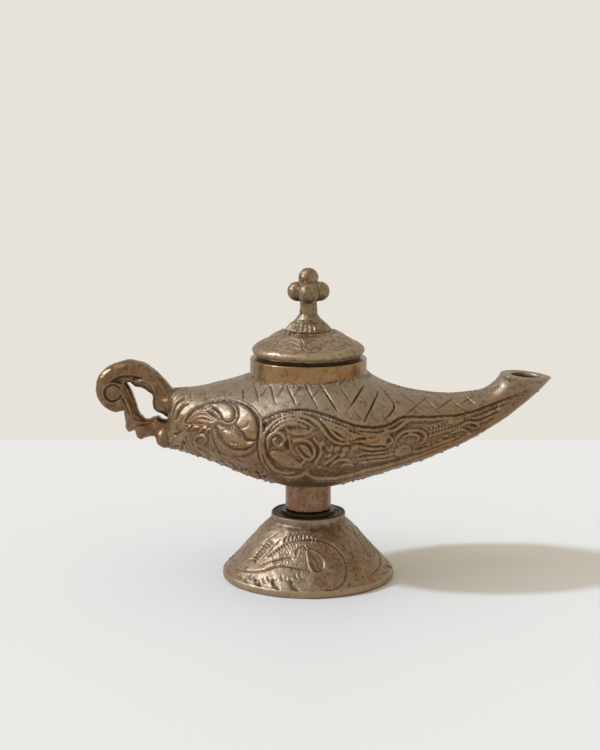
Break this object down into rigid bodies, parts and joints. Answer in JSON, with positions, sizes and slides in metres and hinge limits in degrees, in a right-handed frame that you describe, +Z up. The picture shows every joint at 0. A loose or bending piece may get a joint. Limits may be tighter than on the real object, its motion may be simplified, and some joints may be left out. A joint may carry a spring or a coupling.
{
  "type": "oil lamp",
  "caption": "Boat-shaped cast brass oil lamp with a long rising spout, scroll handle, turned collar, lift-off domed lid with ball finial, and a flared pedestal foot.",
  "frame": {"origin": "centre of the foot's underside, on the surface that the lamp stands on", "axes": "+X from the lamp's axis to the spout, +Z up along the axis of foot, stem, collar and lid, Y across the lamp, which is mirrored about the XZ plane"},
  "size_m": [0.19, 0.0772, 0.1309],
  "materials": {
    "cast_brass": "aged cast brass, satin on the high spots and dark brown in the recesses",
    "turned_brass": "turned brass with a coppery worn tone and fine casting pits",
    "verdigris_brass": "brass under a green-black verdigris crust",
    "steel": "dull zinc-plated steel"
  },
  "bodies": {
    "root": {"foot": "cast_brass", "foot_screw": "steel", "foot_screw_washer": "steel", "seat_washer": "verdigris_brass", "stem": "turned_brass", "bowl_near": "cast_brass", "bowl_far": "cast_brass", "collar": "turned_brass", "handle": "cast_brass"},
    "lid": {"lid_cover": "cast_brass", "lid_sleeve": "turned_brass", "finial": "cast_brass", "finial_nut": "steel"}
  },
  "joints": [
    {"name": "lid_lift", "type": "slide", "parent": "root", "child": "lid", "axis": [0, 0, 1], "range_m": [0, 0.06]}
  ]
}
